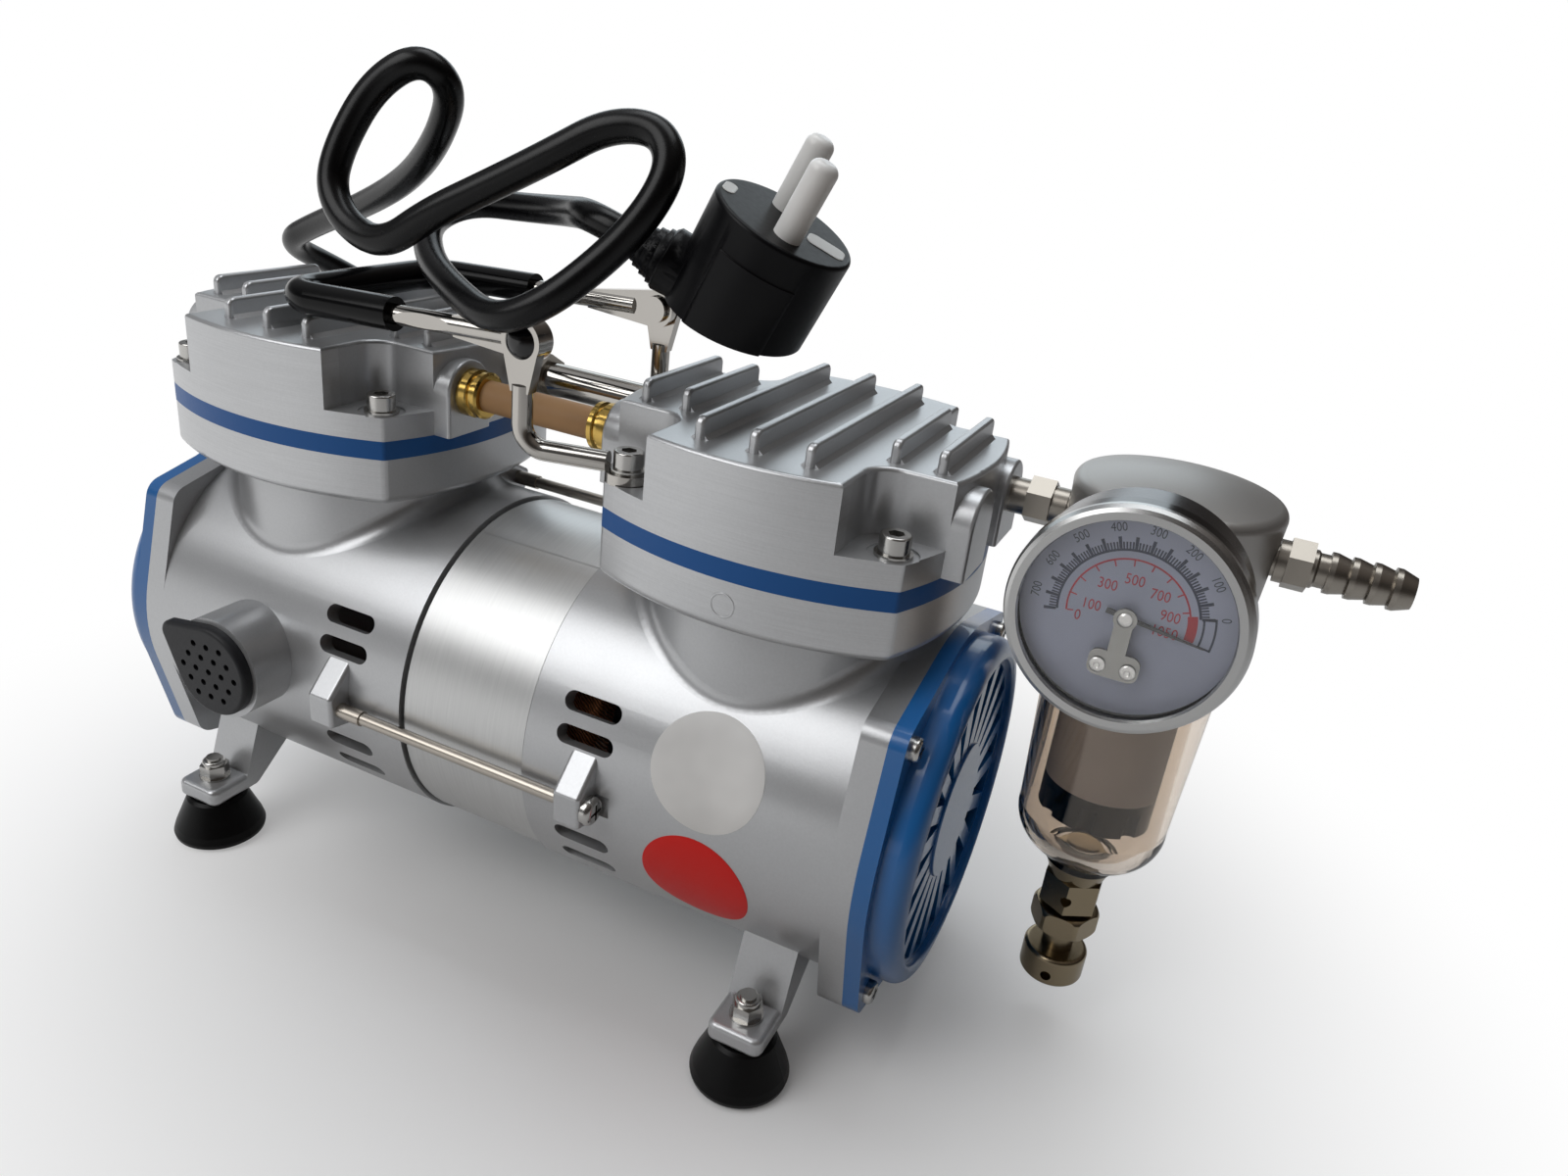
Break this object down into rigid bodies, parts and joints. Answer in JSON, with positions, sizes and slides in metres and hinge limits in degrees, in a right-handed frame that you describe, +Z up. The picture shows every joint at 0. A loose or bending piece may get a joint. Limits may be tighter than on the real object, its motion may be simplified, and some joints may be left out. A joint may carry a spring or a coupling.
{
  "type": "vacuum pump",
  "caption": "Twin-head oilless piston vacuum pump with folding carrying handle, vacuum gauge, filter bowl and mains cord.",
  "frame": {"origin": "centre of the outline seen from above, on the floor under the feet, measured without the cord", "axes": "+X along the motor shaft towards the suction filter, +Y away from the front with the breather and gauge, +Z up"},
  "size_m": [0.4109, 0.1904, 0.2736],
  "materials": {
    "cast_silver": "satin metallic",
    "blue_satin": "satin",
    "blue_gloss": "gloss",
    "silver_band": "satin metallic",
    "steel": "bright",
    "bright_steel": "polished",
    "nickel": "nickel plated",
    "brass": "machined",
    "laminations": "stacked sheet",
    "copper": "enamelled copper wire",
    "aluminium": "machined",
    "black_rubber": "matte",
    "black_plastic": "satin",
    "grip_plastic": "satin",
    "cord_jacket": "satin",
    "pale_plastic": "gloss",
    "tan_tube": "satin",
    "white_plastic": "satin",
    "seal_plastic": "satin",
    "zinc": "satin plated",
    "clear_bowl": "clear",
    "clear_glass": "clear",
    "element": "porous",
    "dial_print": "satin"
  },
  "bodies": {
    "pump": {"housing_left": "cast_silver", "housing_right": "cast_silver", "stator_core": "silver_band", "stator_windings": "copper", "shaft_bearings": "steel", "cylinder_liner_left": "aluminium", "cylinder_liner_right": "aluminium", "end_cover_left": "blue_gloss", "end_cover_right": "blue_gloss", "end_cover_screws": "bright_steel", "tie_rods": "bright_steel", "tie_rod_screws": "bright_steel", "valve_plate_left": "blue_satin", "valve_plate_right": "blue_satin", "reed_valves": "steel", "head_cover_left": "cast_silver", "head_cover_right": "cast_silver", "head_screws": "bright_steel", "crossover_connectors": "brass", "crossover_sleeve": "tan_tube", "rear_line_nuts": "nickel", "rear_line": "bright_steel", "handle_bracket_front": "bright_steel", "handle_bracket_rear": "bright_steel", "handle_pivots": "bright_steel", "pivot_caps": "black_plastic", "rubber_feet": "black_rubber", "foot_bolts": "steel", "breather_cap": "black_plastic", "inlet_nipple": "nickel", "filter_head": "zinc", "filter_element": "element", "filter_baffle": "black_plastic", "hose_barb": "nickel", "gauge_case": "zinc", "gauge_bezel": "bright_steel", "gauge_glass": "clear_glass", "gauge_dial": "dial_print", "gauge_bridge": "steel", "cord_gland": "black_plastic", "power_cord": "cord_jacket", "plug_body": "black_plastic", "plug_pins": "pale_plastic"},
    "motor": {"motor_shaft": "steel", "rotor_core": "laminations", "crank_left": "aluminium", "crank_right": "aluminium", "fan_left": "black_plastic", "fan_right": "black_plastic"},
    "rod_left": {"con_rod_left": "aluminium", "piston_left": "seal_plastic"},
    "rod_right": {"con_rod_right": "aluminium", "piston_right": "seal_plastic"},
    "handle": {"handle_bail": "bright_steel", "handle_grip": "grip_plastic"},
    "needle": {"gauge_pointer": "black_plastic"},
    "bowl": {"filter_bowl": "clear_bowl", "drain_body": "nickel"},
    "knob": {"drain_knob": "nickel"}
  },
  "joints": [
    {"name": "handle_fold", "type": "hinge", "parent": "pump", "child": "handle", "pos_m": [-0.0347, 0.0009, 0.2045], "axis": [0, 1, 0], "range_deg": [0, 90], "deforming": ["power_cord"]},
    {"name": "motor_spin", "type": "hinge", "parent": "pump", "child": "motor", "pos_m": [-0.0487, 0.0009, 0.0776], "axis": [1, 0, 0], "continuous": true},
    {"name": "rod_left_turn", "type": "hinge", "parent": "motor", "child": "rod_left", "pos_m": [-0.1329, 0.0009, 0.0816], "axis": [1, 0, 0], "continuous": true},
    {"name": "rod_right_turn", "type": "hinge", "parent": "motor", "child": "rod_right", "pos_m": [0.0355, 0.0009, 0.0816], "axis": [1, 0, 0], "continuous": true},
    {"name": "needle_turn", "type": "hinge", "parent": "pump", "child": "needle", "pos_m": [0.1345, -0.0331, 0.1693], "axis": [0, -1, 0], "range_deg": [0, 190], "stiffness_Nm_per_rad": 0.0001},
    {"name": "bowl_twist", "type": "hinge", "parent": "pump", "child": "bowl", "pos_m": [0.1363, 0.0169, 0.146], "axis": [0, 0, 1], "range_deg": [0, 45]},
    {"name": "drain_knob_turn", "type": "hinge", "parent": "bowl", "child": "knob", "pos_m": [0.1363, 0.0169, 0.026], "axis": [0, 0, 1], "range_deg": [0, 180]}
  ],
  "couplings": [
    {"joint": "rod_left_turn", "follows": "motor_spin", "ratio": -1},
    {"joint": "rod_right_turn", "follows": "motor_spin", "ratio": -1}
  ]
}
